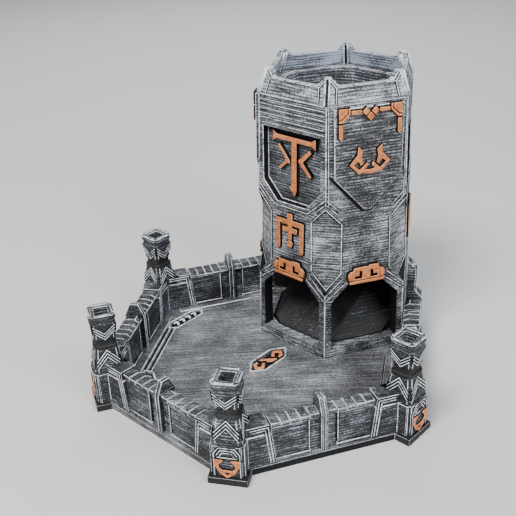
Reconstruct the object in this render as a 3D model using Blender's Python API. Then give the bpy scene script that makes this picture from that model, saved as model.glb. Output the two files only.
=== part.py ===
"""Hexagonal dice tower standing in the notch of a walled hexagonal rolling tray.

Metres, +Z up.  The tray opens towards -Y and the tower stands at its back.
The origin is at the bottom centre of the whole object.
Both plans are hexagons with flat sides facing -Y, so sides are named by the
direction they face in degrees and corners by the direction they lie in.
"""
import math

import bmesh
import bpy
from mathutils import Matrix, Vector

# ---- tower ----
TOWER_R = 0.0520            # centre to corner at the foot
SHOULDER_R = 0.04805        # centre to corner under the crown
SHAFT_H = 0.1554            # foot to shoulder
SEAM_H = 0.0912             # where the upper shaft stands on the arched storey
SHELL_T = 0.0066            # wall of the shaft
EDGE_CUT = 0.0007           # softened corner edge of the shell
CAVITY_CUT = 0.0030         # corner of the cavity cut back behind the corner flats
CROWN_H = 0.0096            # parapet wall above the shoulder
TIP_H = 0.0142              # corner tips above the shoulder
CROWN_LEAN = 0.0051         # how far the tips lean in over their height
CROWN_T = 0.0026            # parapet wall
GUSSET_W = 0.0065           # gusset from a corner tip down to the parapet wall

# ---- arches and flats of the lower storey, measured up from the foot ----
ARCH_SILL = 0.0055
ARCH_TOP = 0.0478
ARCH_HALF = 0.0215
ARCH_HEAD_HALF = 0.0106
ARCH_SPRING = 0.0370
FACET_HALF = 0.0091         # half width of the flat cut across each corner
FACET_DEPTH = 0.0052        # how deep that flat lies behind the corner
FACET_LOW = 0.0430
FACET_FOOT = 0.0555
FACET_HEAD = 0.0875
FACET_TOP = 0.0965
KEY_H = 0.0106              # keystone over an arch
KEY_HALF = 0.0110
KEY_RISE = 0.0014           # bottom of the keystone above the arch
RELIEF_T = 0.0014           # how far the runes stand proud

# ---- relief of the upper shaft: heights are shares of that storey, 0 at the seam ----
POCKET_T = 0.0046
POCKET_HALF = 0.0208
POCKET_FOOT_HALF = 0.0105
POCKET_RISE = (0.045, 0.218, 0.721)     # foot, knee, top
SHIELD_T = 0.0022
SHIELD_HALF = 0.0203
SHIELD_TIP_HALF = 0.0019
SHIELD_RISE = (0.055, 0.369, 0.978)     # tip, knee, top

# ---- inside the tower ----
BAFFLE_T = 0.0030
BAFFLE_SLOPE = math.tan(math.radians(35.0))
BAFFLE_DROP = 0.0085        # top of the upper baffle below the hopper
BAFFLE_LIP = 0.0100         # how far a baffle reaches past the middle
RAMP_BACK = 0.0440          # ramp height at the rear wall
HOPPER_H = 0.0200
HOPPER_T = 0.0018
HOPPER_MOUTH = 0.0325       # centre to side of the mouth, at the top
HOPPER_THROAT = 0.0285      # centre to side, at the bottom

# ---- tray ----
FLOOR_T = 0.0040
TRAY_SIDE = 0.0833          # tray centre to the middle of a wall
WALL_T = 0.0100
WALL_H = 0.0240
COPING_OUT = 0.0008
COPING_H = 0.0026
PLINTH_OUT = 0.0009
PLINTH_H = 0.0016
PLATE_EDGE = 0.0014         # floor plate beyond the walls' outer faces
TOWER_PAD = 0.0020          # floor plate beyond the tower's foot
PILASTER_HALF = 0.0019
PILASTER_OUT = 0.0011
PILASTER_TIP = 0.0314
PIER_L = 0.0075
PIER_H = 0.0506
PIER_TIP = 0.0046

# ---- turrets ----
TURRET_HALF = 0.0090
HEAD_HALF = 0.0078          # foot of the turret's head
TURRET_CUT = 0.0022         # cut on the block's upright edges
BASE_H = 0.0190
WING_L = 0.0190             # from the turret's centre along the wall
WING_OUT = 0.0009           # wing proud of the wall on both faces
WING_TOP = 0.0244
WING_SLOPE = 0.0030         # the wing's foot is longer than its top by this
WING_STEP = 0.0004          # upper part of a wing set in from its lower part
HEAD_H = 0.0550             # top of the turret above the tray floor
SOCKET_HALF = 0.0038
SOCKET_DEPTH = 0.0100
GAP = 0.0003                # between pieces that touch

SQ3 = math.sqrt(3.0)
FRONT_FACES = (210, 270, 330)
A_FACES = (270, 30, 150)        # faces with a sunk pocket
B_FACES = (330, 90, 210)        # faces with a shield
TURRETS = {"front_right": 300, "right": 0, "front_left": 240, "left": 180}
WALLS = {"front": 270, "front_right": 330, "front_left": 210, "right": 30, "left": 150}

# The tower's rear side faces lie against the inner faces of the tray's two rear walls.
TRAY_IN = TRAY_SIDE - WALL_T / 2
TRAY_OUT = TRAY_SIDE + WALL_T / 2
TRAY_R = TRAY_SIDE * 2 / SQ3
TOWER_Y = 2 * (TRAY_IN - TOWER_R * SQ3 / 2 - GAP)
TOP_OF_FLOOR = FLOOR_T + GAP


for old in list(bpy.data.objects):
    bpy.data.objects.remove(old, do_unlink=True)


# ---- shape helpers ----
def polar(r, degrees):
    a = math.radians(degrees)
    return (r * math.cos(a), r * math.sin(a))


def hexagon(side, cut=0.0):
    """Plan hexagon by its centre-to-side distance, with each corner cut back by `cut`."""
    corner = side * 2 / SQ3
    half = cut * SQ3
    pts = []
    for k in range(6):
        axis = 60 * k
        if not cut:
            pts.append(polar(corner, axis))
            continue
        for sign in (-1, 1):
            x, y = corner - cut, sign * half
            c, s = polar(1.0, axis)
            pts.append((x * c - y * s, x * s + y * c))
    return pts


def square(half, cut):
    pts = []
    for sx, sy in ((1, -1), (1, 1), (-1, 1), (-1, -1)):
        near = (sx * half, sy * (half - cut))
        far = (sx * (half - cut), sy * half)
        pts += [near, far] if sx * sy > 0 else [far, near]
    return pts


def ring(outline, z):
    """Points of an outline at one height; z may be a number or a function of x and y."""
    return [(x, y, z(x, y) if callable(z) else z) for x, y in outline]


def stack(rings, closed=False):
    """A closed body from rings with equal counts, joined one to the next."""
    bm = bmesh.new()
    rows = [[bm.verts.new(p) for p in r] for r in rings]
    pairs = list(zip(rows, rows[1:]))
    if closed:
        pairs.append((rows[-1], rows[0]))
    for low, high in pairs:
        for i in range(len(low)):
            j = (i + 1) % len(low)
            bm.faces.new((low[i], low[j], high[j], high[i]))
    if not closed:
        bm.faces.new(rows[0][::-1])
        bm.faces.new(rows[-1])
    bmesh.ops.recalc_face_normals(bm, faces=bm.faces)
    return bm


def prism(outline, low, high):
    return stack([ring(outline, low), ring(outline, high)])


def mirrored(right):
    """An outline symmetrical about the middle line, from its right half going up."""
    left = [(-x, y) for x, y in reversed(right) if x > 0]
    return list(right) + left


def cut_above(bm, point, normal):
    """Slice a convex body with a plane and keep what lies behind it."""
    geom = bm.verts[:] + bm.edges[:] + bm.faces[:]
    done = bmesh.ops.bisect_plane(bm, geom=geom, dist=1e-7, plane_co=point, plane_no=normal,
                                  clear_outer=True)
    rim = [e for e in done["geom_cut"] if isinstance(e, bmesh.types.BMEdge)]
    bmesh.ops.contextual_create(bm, geom=rim)
    bmesh.ops.recalc_face_normals(bm, faces=bm.faces)


def clipped(outline, keep):
    """The part of an outline where keep(x, y) is not negative (a straight cut)."""
    out = []
    for i, p in enumerate(outline):
        q = outline[(i + 1) % len(outline)]
        a, b = keep(*p), keep(*q)
        if a >= 0:
            out.append(p)
        if (a >= 0) != (b >= 0):
            t = a / (a - b)
            out.append((p[0] + t * (q[0] - p[0]), p[1] + t * (q[1] - p[1])))
    return out


# ---- object helpers ----
def material(name, color, roughness, metallic=0.0):
    m = bpy.data.materials.new(name)
    m.use_nodes = True
    bsdf = m.node_tree.nodes["Principled BSDF"]
    bsdf.inputs["Base Color"].default_value = (*color, 1.0)
    bsdf.inputs["Roughness"].default_value = roughness
    bsdf.inputs["Metallic"].default_value = metallic
    return m


def stone(name, shade=1.0):
    return material(name + "_stone", (0.13 * shade, 0.135 * shade, 0.145 * shade), 0.6)


def copper(name):
    return material(name + "_copper", (0.72, 0.36, 0.19), 0.4, 0.6)


def empty(name, parent=None, matrix=None):
    e = bpy.data.objects.new(name, None)
    bpy.context.collection.objects.link(e)
    e.parent = parent
    if matrix is not None:
        e.matrix_local = matrix
    return e


def piece(name, bm, parent, finish):
    mesh = bpy.data.meshes.new(name)
    bm.to_mesh(mesh)
    bm.free()
    obj = bpy.data.objects.new(name, mesh)
    bpy.context.collection.objects.link(obj)
    obj.parent = parent
    if finish is not None:
        mesh.materials.append(finish)
    return obj


def tool(name, bm, parent):
    """A hidden body that only cuts or joins."""
    obj = piece(name, bm, parent, None)
    obj.hide_render = True
    obj.display_type = "WIRE"
    return obj


def boolean(obj, other, operation):
    mod = obj.modifiers.new(other.name, "BOOLEAN")
    mod.operation = operation
    mod.solver = "EXACT"
    mod.object = other


# ---- floor plate ----
def plate_outline():
    edge = TRAY_OUT + PLATE_EDGE
    corner = edge * 2 / SQ3
    pad = TURRET_HALF + PLATE_EDGE
    reach = TRAY_R + pad
    pts = []
    for axis in (180, 240, 300, 0):
        c, s = polar(1.0, axis)
        for r, t in ((corner - pad / SQ3, -pad), (reach, -pad), (reach, pad), (corner - pad / SQ3, pad)):
            pts.append((r * c - t * s, r * s + t * c))
    foot = TOWER_R * SQ3 / 2 + TOWER_PAD
    back = TOWER_Y + foot
    side = foot * 2 / SQ3 - (edge - TOWER_Y) / SQ3
    right = [(corner / 2, edge), (side, edge), (foot / SQ3, back)]
    return pts + right + [(-x, y) for x, y in reversed(right)]


PLATE = plate_outline()
CENTRE_Y = (min(y for _, y in PLATE) + max(y for _, y in PLATE)) / 2
tray = empty("tray", None, Matrix.Translation((0.0, -CENTRE_Y, 0.0)))
tower = empty("tower", tray, Matrix.Translation((0.0, TOWER_Y, TOP_OF_FLOOR)))

INLAY_AT = (0.0, -0.0010)
INLAY_TURN = 90.0
INLAY_DEPTH = 0.0014
INLAY = [(0.0150, 0.0), (0.0085, 0.0052), (-0.0085, 0.0052), (-0.0150, 0.0), (-0.0085, -0.0052), (0.0085, -0.0052)]

floor = piece("tray_floor", prism(PLATE, 0.0, FLOOR_T), tray, stone("tray_floor"))
inlay_at = empty("inlay_at", tray, Matrix.Translation((*INLAY_AT, FLOOR_T))
                 @ Matrix.Rotation(math.radians(INLAY_TURN), 4, "Z"))
recess = tool("floor_recess", prism(INLAY, -INLAY_DEPTH, 0.0010), inlay_at)
boolean(floor, recess, "DIFFERENCE")
fit = 1.0 - GAP / 0.0052
piece("floor_rune", prism([(x * fit, y * fit) for x, y in INLAY], GAP - INLAY_DEPTH, 0.0), inlay_at,
      copper("floor_rune"))


# ---- walls ----
def side_frame(name, direction, distance, parent, height, tilt=0.0):
    """Empty on a side: x runs along it to the viewer's right, y up it, z out of it."""
    c, s = polar(1.0, direction)
    basis = Matrix(((-s, 0.0, c, c * distance), (c, 0.0, s, s * distance), (0.0, 1.0, 0.0, height),
                    (0.0, 0.0, 0.0, 1.0)))
    return empty(name, parent, basis @ Matrix.Rotation(-tilt, 4, "X"))


def wall_section():
    """Plinth, wall and coping: (out of the wall's middle, up)."""
    half = WALL_T / 2
    body = half - COPING_OUT
    return [(half, 0.0), (half, PLINTH_H), (body, PLINTH_H + PLINTH_OUT), (body, WALL_H - COPING_H),
            (half, WALL_H - COPING_H + COPING_OUT), (half, WALL_H)]


def profile_run(section, start, finish):
    """A section in (out, up) drawn along a wall between two ends that depend on height."""
    return stack([[(end(up), up, out) for out, up in section] for end in (start, finish)])


def pilaster_section():
    out = WALL_T / 2 + PILASTER_OUT
    return [(-out, 0.0), (out, 0.0), (out, WALL_H), (out * 0.45, PILASTER_TIP), (-out * 0.45, PILASTER_TIP),
            (-out, WALL_H)]


PIER_START = TRAY_R / 2 - PIER_L * 0.70
for label, direction in WALLS.items():
    place = side_frame(f"{label}_wall_at", direction, TRAY_SIDE, tray, TOP_OF_FLOOR)
    wing_end = TRAY_R / 2 - WING_L
    slope = WING_SLOPE / WING_TOP

    def by_turret(up):
        return wing_end - GAP - slope * (WING_TOP - up)

    def right_end(up):
        return PIER_START - GAP if label == "right" else by_turret(up)

    def left_end(up):
        return -(PIER_START - GAP) if label == "left" else -by_turret(up)

    half_section = wall_section()
    section = half_section + [(-out, up) for out, up in reversed(half_section)]
    wall = piece(f"wall_{label}", profile_run(section, left_end, right_end), place, stone(f"wall_{label}"))
    fin = tool(f"pilaster_{label}", profile_run(pilaster_section(), lambda up: -PILASTER_HALF,
                                                lambda up: PILASTER_HALF), place)
    boolean(wall, fin, "UNION")

# Each rear wall ends in a pier whose fin stands against the tower's side.
for label, direction, sign in (("right", 30, 1), ("left", 150, -1)):
    place = side_frame(f"{label}_pier_at", direction, TRAY_SIDE, tray, TOP_OF_FLOOR)
    inner = GAP - WALL_T / 2
    outer = WALL_T / 2
    section = [(inner, 0.0), (outer, 0.0), (outer, WALL_H + 0.0020), (0.0006, WALL_H + 0.0068),
               (0.0006, PIER_H - PIER_TIP), (inner, PIER_H)]
    ends = sorted((sign * PIER_START, sign * (PIER_START + PIER_L)))
    body = profile_run(section, lambda up: ends[0], lambda up: ends[1])
    piece(f"end_pier_{label}", body, place, stone(f"end_pier_{label}"))


# ---- turrets ----
def wing_point(along, out, sign):
    """Plan point by a corner: `along` the wall from the corner, `out` from its middle line."""
    return (-along / 2 + out * SQ3 / 2, sign * (along * SQ3 / 2 + out / 2))


def base_outline(extra):
    h = WALL_T / 2 + WING_OUT
    b = TURRET_HALF
    k = TURRET_CUT
    meet = (h - b / 2) * 2 / SQ3
    right = [(b, b - k), (b - k, b), (meet, b), wing_point(WING_L + extra, h, 1),
             wing_point(WING_L + extra, -h, 1)]
    return right + [(-h * 2 / SQ3, 0.0)] + [(x, -y) for x, y in reversed(right)]


def wing_outline(sign, extra):
    h = WALL_T / 2 + WING_OUT - WING_STEP
    start = HEAD_HALF + GAP + 0.0001
    end = WING_L - WING_STEP + extra
    pts = [((h - start / 2) * 2 / SQ3, sign * start), wing_point(end, h, sign), wing_point(end, -h, sign),
           ((-h - start / 2) * 2 / SQ3, sign * start)]
    return pts if sign > 0 else pts[::-1]


# Half widths of the turret's head, by height above the tray floor.
HEAD = ((BASE_H + GAP, HEAD_HALF), (0.0240, HEAD_HALF), (0.0340, 0.0064), (0.0355, 0.0064), (0.0360, 0.0054),
        (0.0392, 0.0054), (0.0400, 0.0061), (0.0500, 0.0070), (0.0505, 0.0066), (0.0520, 0.0066),
        (0.0525, 0.0072), (HEAD_H, 0.0072))
for label, axis in TURRETS.items():
    spot = empty(f"turret_{label}_at", tray, Matrix.Rotation(math.radians(axis), 4, "Z")
                 @ Matrix.Translation((TRAY_R, 0.0, TOP_OF_FLOOR)))
    at_height = WING_SLOPE * (1 - BASE_H / WING_TOP)
    core = stack([ring(base_outline(WING_SLOPE), 0.0), ring(base_outline(at_height), BASE_H)])
    base = piece(f"turret_base_{label}", core, spot, stone(f"turret_base_{label}"))
    for sign in (1, -1):
        root = BASE_H - 0.0060
        rise = stack([ring(wing_outline(sign, WING_SLOPE * (1 - root / WING_TOP)), root),
                      ring(wing_outline(sign, 0.0), WING_TOP)])
        side = "a" if sign > 0 else "b"
        boolean(base, tool(f"wing_{label}_{side}", rise, spot), "UNION")
    rings = [ring(square(half, half * 0.24), up) for up, half in HEAD]
    rings.append(ring(square(SOCKET_HALF, 0.0004), HEAD_H))
    rings.append(ring(square(SOCKET_HALF, 0.0004), HEAD_H - SOCKET_DEPTH))
    piece(f"turret_head_{label}", stack(rings), spot, stone(f"turret_head_{label}"))
    face = side_frame(f"turret_{label}_face", 0, TURRET_HALF, spot, 0.0)
    rune = mirrored([(0.0, 0.0005), (0.0032, 0.0035), (0.0020, 0.0048), (0.0058, 0.0086), (0.0058, 0.0118),
                     (0.0030, 0.0118), (0.0030, 0.0096), (0.0, 0.0060)])
    piece(f"turret_rune_{label}", prism(rune, GAP, PLATE_EDGE - GAP), face, copper(f"turret_rune_{label}"))


# ---- tower shells ----
LEAN = math.atan2((TOWER_R - SHOULDER_R) * SQ3 / 2, SHAFT_H)


def shell_side(z):
    """Centre-to-side distance of the shaft's outside at a height."""
    return (TOWER_R + (SHOULDER_R - TOWER_R) * z / SHAFT_H) * SQ3 / 2


def cavity(z, clearance=0.0):
    side = shell_side(z) - SHELL_T / math.cos(LEAN) - clearance
    return hexagon(side, CAVITY_CUT)


def shell(low, high):
    outer = [ring(hexagon(shell_side(z), EDGE_CUT), z) for z in (low, high)]
    inner = [ring(cavity(z), z) for z in (high, low)]
    return stack(outer + inner, closed=True)


def face_at(name, direction):
    return side_frame(name, direction, shell_side(0.0), tower, 0.0, LEAN)


storey = piece("arched_storey", shell(0.0, SEAM_H), tower, stone("arched_storey"))
shaft = piece("upper_shaft", shell(SEAM_H + GAP, SHAFT_H), tower, stone("upper_shaft"))
faces = {d: face_at(f"face_{d}", d) for d in FRONT_FACES + (30, 90, 150)}

ARCH = mirrored([(ARCH_HALF, ARCH_SILL), (ARCH_HALF, ARCH_SPRING), (ARCH_HEAD_HALF, ARCH_TOP)])
for direction in FRONT_FACES:
    cutter = tool(f"arch_cut_{direction}", prism(ARCH, -2.5 * SHELL_T, SHELL_T), faces[direction])
    boolean(storey, cutter, "DIFFERENCE")



def upper(share):
    """Height on the upper shaft."""
    return SEAM_H + share * (SHAFT_H - SEAM_H)


pocket_foot, pocket_knee, pocket_top = (upper(t) for t in POCKET_RISE)
POCKET = mirrored([(POCKET_FOOT_HALF, pocket_foot), (POCKET_HALF, pocket_knee), (POCKET_HALF, pocket_top)])
for direction in A_FACES:
    cutter = tool(f"pocket_cut_{direction}", prism(POCKET, -POCKET_T, 0.0040), faces[direction])
    boolean(shaft, cutter, "DIFFERENCE")


def facet_cutter():
    """Block that cuts a flat across a corner, pointed below and sloping out to a point above."""
    half = FACET_HALF * 1.6
    far = FACET_DEPTH * 2.2
    rise = (FACET_TOP - FACET_HEAD) / FACET_DEPTH
    drop = (FACET_FOOT - FACET_LOW) / FACET_HALF
    flat = [(0.0, FACET_FOOT - FACET_HALF * drop), (half, FACET_FOOT + (half - FACET_HALF) * drop),
            (half, FACET_HEAD), (-half, FACET_HEAD), (-half, FACET_FOOT + (half - FACET_HALF) * drop)]
    near = [(x, up, 0.0) for x, up in flat]
    front = [(x, up + (rise * far if up == FACET_HEAD else 0.0), far) for x, up in flat]
    return stack([near, front])


for corner in range(0, 360, 60):
    middle = (FACET_FOOT + FACET_HEAD) / 2
    distance = shell_side(middle) * 2 / SQ3 - FACET_DEPTH
    lean = math.atan2(TOWER_R - SHOULDER_R, SHAFT_H)
    place = side_frame(f"corner_{corner}", corner, distance + middle * math.tan(lean), tower, 0.0, lean)
    cutter = tool(f"facet_cut_{corner}", facet_cutter(), place)
    boolean(storey, cutter, "DIFFERENCE")
    boolean(shaft, cutter, "DIFFERENCE")


# ---- crown ----
def crown_ring(side_at_corner, wall_top, tip_top):
    """Hexagonal ring whose height rises in a gusset to each corner."""
    corner = side_at_corner * 2 / SQ3
    pts = []
    for k in range(6):
        axis = 60 * k
        for along, up in ((GUSSET_W, wall_top), (EDGE_CUT * 2, tip_top), (-EDGE_CUT * 2, tip_top),
                          (-GUSSET_W, wall_top)):
            c, s = polar(1.0, axis)
            x = corner - abs(along) / 2
            y = -along * SQ3 / 2
            pts.append((x * c - y * s, x * s + y * c, up))
    return pts


def crown_side(up):
    """Outer centre-to-side distance of the leaning parapet, above the shoulder."""
    return (SHOULDER_R - CROWN_LEAN * up / TIP_H) * SQ3 / 2


foot = SHAFT_H + GAP
outer_top = []
inner_top = []
for thick, store in ((0.0, outer_top), (CROWN_T, inner_top)):
    wall = crown_ring(crown_side(CROWN_H) - thick, SHAFT_H + CROWN_H, SHAFT_H + CROWN_H)
    tips = crown_ring(crown_side(TIP_H) - thick, SHAFT_H + TIP_H, SHAFT_H + TIP_H)
    store += [tips[i] if i % 4 in (1, 2) else wall[i] for i in range(24)]
crown = stack([crown_ring(shell_side(SHAFT_H), foot, foot), outer_top, inner_top,
               crown_ring(shell_side(SHAFT_H) - CROWN_T, foot, foot)], closed=True)
piece("crown", crown, tower, stone("crown"))

# ---- inside ----
hopper_low = SHAFT_H - HOPPER_H
hopper = stack([ring(cavity(SHAFT_H, GAP), SHAFT_H - 0.0030), ring(cavity(SHAFT_H, GAP), SHAFT_H),
                ring(hexagon(HOPPER_MOUTH, CAVITY_CUT), SHAFT_H),
                ring(hexagon(HOPPER_THROAT, CAVITY_CUT), hopper_low),
                ring(hexagon(HOPPER_THROAT + HOPPER_T, CAVITY_CUT), hopper_low)], closed=True)
piece("hopper", hopper, tower, stone("hopper", 0.6))


def wall_reach(z):
    """From the tower's middle to the inside of its wall."""
    return shell_side(z) - SHELL_T


def baffle(high_z, sign):
    """Plate sloping down from one wall past the middle; sign is +1 from the rear wall."""
    plan = clipped(cavity(high_z, GAP), lambda x, y: sign * y + BAFFLE_LIP)

    def under(x, y):
        return high_z - BAFFLE_T - BAFFLE_SLOPE * (wall_reach(high_z) - sign * y)

    return stack([ring(plan, under), ring(plan, lambda x, y: under(x, y) + BAFFLE_T)])


# The ramp falls from the rear wall to the front sill, and from either side to the side sills.
side = shell_side(RAMP_BACK) - SHELL_T / math.cos(LEAN) - GAP
ramp = prism(hexagon(side, CAVITY_CUT), 0.0, RAMP_BACK + 0.0100)
for direction, run in ((270, 2 * side), (330, side), (210, side)):
    c, s = polar(1.0, direction)
    rise = (RAMP_BACK - ARCH_SILL) / run
    cut_above(ramp, Vector((c * side, s * side, ARCH_SILL)), Vector((c * rise, s * rise, 1.0)).normalized())
piece("exit_ramp", ramp, tower, stone("exit_ramp", 0.6))

# Both baffles leave the same height for a die to pass: under the upper one and over the ramp.
upper_z = SHAFT_H - HOPPER_H - BAFFLE_DROP
ramp_at_lip = ARCH_SILL + (RAMP_BACK - ARCH_SILL) * (side + BAFFLE_LIP) / (2 * side)
fall = BAFFLE_T + BAFFLE_SLOPE * (wall_reach(upper_z) + BAFFLE_LIP)
back_fall = BAFFLE_SLOPE * (wall_reach(upper_z) - BAFFLE_LIP)
passage = (upper_z - ramp_at_lip - 2 * fall + back_fall) / 2
piece("baffle_upper", baffle(upper_z, 1), tower, stone("baffle_upper", 0.6))
piece("baffle_lower", baffle(ramp_at_lip + passage + fall, -1), tower, stone("baffle_lower", 0.6))

# ---- relief on the faces ----
def between(low, high, right):
    """A mirrored outline whose heights are shares of the space between two heights."""
    return mirrored([(x, low + t * (high - low)) for x, t in right])


tip, knee, top = (upper(t) for t in SHIELD_RISE)
SHIELD = mirrored([(SHIELD_TIP_HALF, tip), (SHIELD_HALF, knee), (SHIELD_HALF, top)])
CREST = between(tip, top, [(0.0, 0.862), (0.0036, 0.923), (0.0021, 0.947), (0.0105, 0.947), (0.0122, 0.885),
                           (0.0158, 0.831), (0.0158, 0.747), (0.0182, 0.747), (0.0182, 0.983), (0.0, 0.983)])
SHIELD_RUNE = between(tip, top, [(0.0, 0.376), (0.0040, 0.452), (0.0022, 0.486), (0.0075, 0.578), (0.0075, 0.503),
                                 (0.0118, 0.578), (0.0118, 0.671), (0.0090, 0.626), (0.0050, 0.683), (0.0, 0.595)])
POCKET_RUNE = between(pocket_foot, pocket_top, [
    (0.0, 0.101), (0.0022, 0.205), (0.0022, 0.424), (0.0090, 0.574), (0.0090, 0.677), (0.0022, 0.528),
    (0.0022, 0.763), (0.0118, 0.763), (0.0150, 0.707), (0.0150, 0.931), (0.0118, 0.878), (0.0, 0.878)])
key_low = ARCH_TOP + KEY_RISE
key_top = key_low + KEY_H
KEY = mirrored([(KEY_HALF - 0.0020, key_low), (KEY_HALF, key_low + 0.17 * KEY_H), (KEY_HALF, key_low + 0.57 * KEY_H),
                (KEY_HALF - 0.0042, key_low + 0.79 * KEY_H), (0.0030, key_top)])
GATE_RUNE = between(key_top, SEAM_H, [
    (0.0018, 0.086), (0.0018, 0.436), (0.0056, 0.436), (0.0056, 0.548), (0.0068, 0.548), (0.0068, 0.086),
    (0.0100, 0.086), (0.0100, 0.739), (0.0020, 0.818), (0.0020, 0.914)])

on_face = (GAP, GAP + RELIEF_T)
on_shield = (GAP + SHIELD_T + GAP, GAP + SHIELD_T + GAP + RELIEF_T)
in_pocket = (GAP - POCKET_T, GAP - POCKET_T + RELIEF_T + 0.0008)
for n, direction in enumerate(B_FACES, 1):
    place = faces[direction]
    piece(f"shield_{n}", prism(SHIELD, GAP, GAP + SHIELD_T), place, stone(f"shield_{n}"))
    piece(f"shield_crest_{n}", prism(CREST, *on_shield), place, copper(f"shield_crest_{n}"))
    piece(f"shield_rune_{n}", prism(SHIELD_RUNE, *on_shield), place, copper(f"shield_rune_{n}"))
for n, direction in enumerate(A_FACES, 1):
    place = faces[direction]
    piece(f"pocket_rune_{n}", prism(POCKET_RUNE, *in_pocket), place, copper(f"pocket_rune_{n}"))
    piece(f"gate_rune_{n}", prism(GATE_RUNE, *on_face), place, copper(f"gate_rune_{n}"))
for n, direction in enumerate(FRONT_FACES, 1):
    piece(f"keystone_{n}", prism(KEY, *on_face), faces[direction], copper(f"keystone_{n}"))
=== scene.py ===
"""Painted look of a hexagonal dice tower that stands in the notch of a walled rolling tray."""
from math import atan2, cos, pi, radians, sin, sqrt

import bpy
from mathutils import Matrix, Vector


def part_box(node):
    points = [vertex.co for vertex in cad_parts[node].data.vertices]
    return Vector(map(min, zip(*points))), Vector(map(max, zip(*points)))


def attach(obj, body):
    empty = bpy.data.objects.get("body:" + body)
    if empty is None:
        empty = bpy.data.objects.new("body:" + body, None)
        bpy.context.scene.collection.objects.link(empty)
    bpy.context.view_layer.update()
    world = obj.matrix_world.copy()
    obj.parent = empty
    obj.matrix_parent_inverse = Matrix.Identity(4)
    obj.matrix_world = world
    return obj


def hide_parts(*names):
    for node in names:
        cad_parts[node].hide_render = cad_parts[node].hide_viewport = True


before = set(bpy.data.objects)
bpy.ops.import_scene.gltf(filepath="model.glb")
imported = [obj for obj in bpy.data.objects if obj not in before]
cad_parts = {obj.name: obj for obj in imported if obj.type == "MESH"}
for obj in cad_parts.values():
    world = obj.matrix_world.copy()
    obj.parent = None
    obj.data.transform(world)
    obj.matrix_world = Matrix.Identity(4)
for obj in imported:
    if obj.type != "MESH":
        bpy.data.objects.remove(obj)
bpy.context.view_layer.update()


# ---- Camera, table and light ----
# The set stands on a pale table under one strong soft light, and two weaker ones fill the shadows.
# None of this is part of the object.
CAMERA_AT = Vector((0.2792, -0.3140, 0.2886))
HEADING = radians(132.98)
PITCH = radians(-27.45)
ROLL = radians(-2.18)
LENS = 57.1
TABLE_SIZE = 6.0
TABLE_GREY = (0.62, 0.62, 0.61, 1.0)
TABLE_ROUGHNESS = 0.8
SKY_TINT = (0.80, 0.84, 0.90, 1.0)
SKY_STRENGTH = 0.30
LIT_POINT = Vector((0.0, 0.0, 0.06))  # what the lights aim at
LIGHTS = (  # name, place, size in metres, watts, colour
    ("key_light", (0.10, -0.75, 1.25), 0.50, 26.0, (1.0, 0.98, 0.95)),
    ("side_light", (1.05, -0.15, 0.80), 0.60, 11.0, (0.95, 0.97, 1.0)),
    ("rim_light", (-0.75, 0.75, 0.95), 0.80, 10.0, (0.93, 0.96, 1.0)),
)

ahead = Vector((cos(HEADING) * cos(PITCH), sin(HEADING) * cos(PITCH), sin(PITCH)))
level = Vector((sin(HEADING), -cos(HEADING), 0.0))
upright = level.cross(ahead)
right_hand = level * cos(ROLL) + upright * sin(ROLL)
top_side = upright * cos(ROLL) - level * sin(ROLL)
camera = bpy.data.objects.new("camera", bpy.data.cameras.new("camera"))
camera.data.lens = LENS
camera.data.clip_start = 0.01
axes = Matrix((right_hand, top_side, -ahead)).transposed().to_4x4()
camera.matrix_world = Matrix.Translation(CAMERA_AT) @ axes
bpy.context.scene.collection.objects.link(camera)
bpy.context.scene.camera = camera

bpy.ops.object.select_all(action="DESELECT")
bpy.ops.mesh.primitive_plane_add(size=TABLE_SIZE)
table = bpy.context.object
table.name = "table"
table_paint = bpy.data.materials.new("pale_table")
table_paint.use_nodes = True
table_shader = table_paint.node_tree.nodes["Principled BSDF"]
table_shader.inputs["Base Color"].default_value = TABLE_GREY
table_shader.inputs["Roughness"].default_value = TABLE_ROUGHNESS
table.data.materials.append(table_paint)

for name, spot, size, watts, tint in LIGHTS:
    lamp = bpy.data.lights.new(name, "AREA")
    lamp.size = size
    lamp.energy = watts
    lamp.color = tint
    stand = bpy.data.objects.new(name, lamp)
    stand.location = spot
    stand.rotation_euler = (Vector(spot) - LIT_POINT).to_track_quat("Z", "Y").to_euler()
    bpy.context.scene.collection.objects.link(stand)
sky = bpy.data.worlds.new("soft_sky")
sky.use_nodes = True
sky.node_tree.nodes["Background"].inputs["Color"].default_value = SKY_TINT
sky.node_tree.nodes["Background"].inputs["Strength"].default_value = SKY_STRENGTH
bpy.context.scene.world = sky


# ---- Tray floor ----
# One slab of printed plastic that carries the walls and the tower, painted black and dry-brushed in pale
# grey along the print's 45 degree infill.  Grooves run beside the walls, a low curb stands at their foot,
# and a fret is sunk in each corner.
MM = 0.001  # plain sizes below are in millimetres
FLOOR_EDGE = 0.22
CURB = (73.3, 77.9)  # centre of the tray to the curb's two edges
CURB_RISE = 0.6
RAILS_AT = (67.3, 70.5)  # centre of the tray to the thin rails beside the grooves
RAIL_END = 24.5
GROOVE_DEEP = 0.8
GROOVES = ((67.9, 69.8), (71.2, 73.1))  # centre of the tray to each groove's two edges
REAR_GROOVES = ((68.6, 69.5),)
OPEN_SIDES = (210, 270, 330)  # directions of the sides that the tower doesn't stand in
SIDES = (  # direction, grooves, ends of the grooves, ends of the curb
    (210, GROOVES, (-24.5, 24.5), (-38.0, 38.0)),
    (270, GROOVES, (-24.5, 24.5), (-38.0, 38.0)),
    (330, GROOVES, (-24.5, 24.5), (-38.0, 38.0)),
    (150, REAR_GROOVES, (-16.0, 24.5), (-27.0, 38.0)),
    (30, REAR_GROOVES, (-24.5, 16.0), (-38.0, 27.0)),
)
UNDERSIDE = 1.0  # heights and reach between which a face is part of a hollow in the floor
HOLLOW_TOP = 0.3
HOLLOW_REACH = 95.0
CORNERS = (180, 240, 300, 0)  # directions of the corners with a turret
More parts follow.
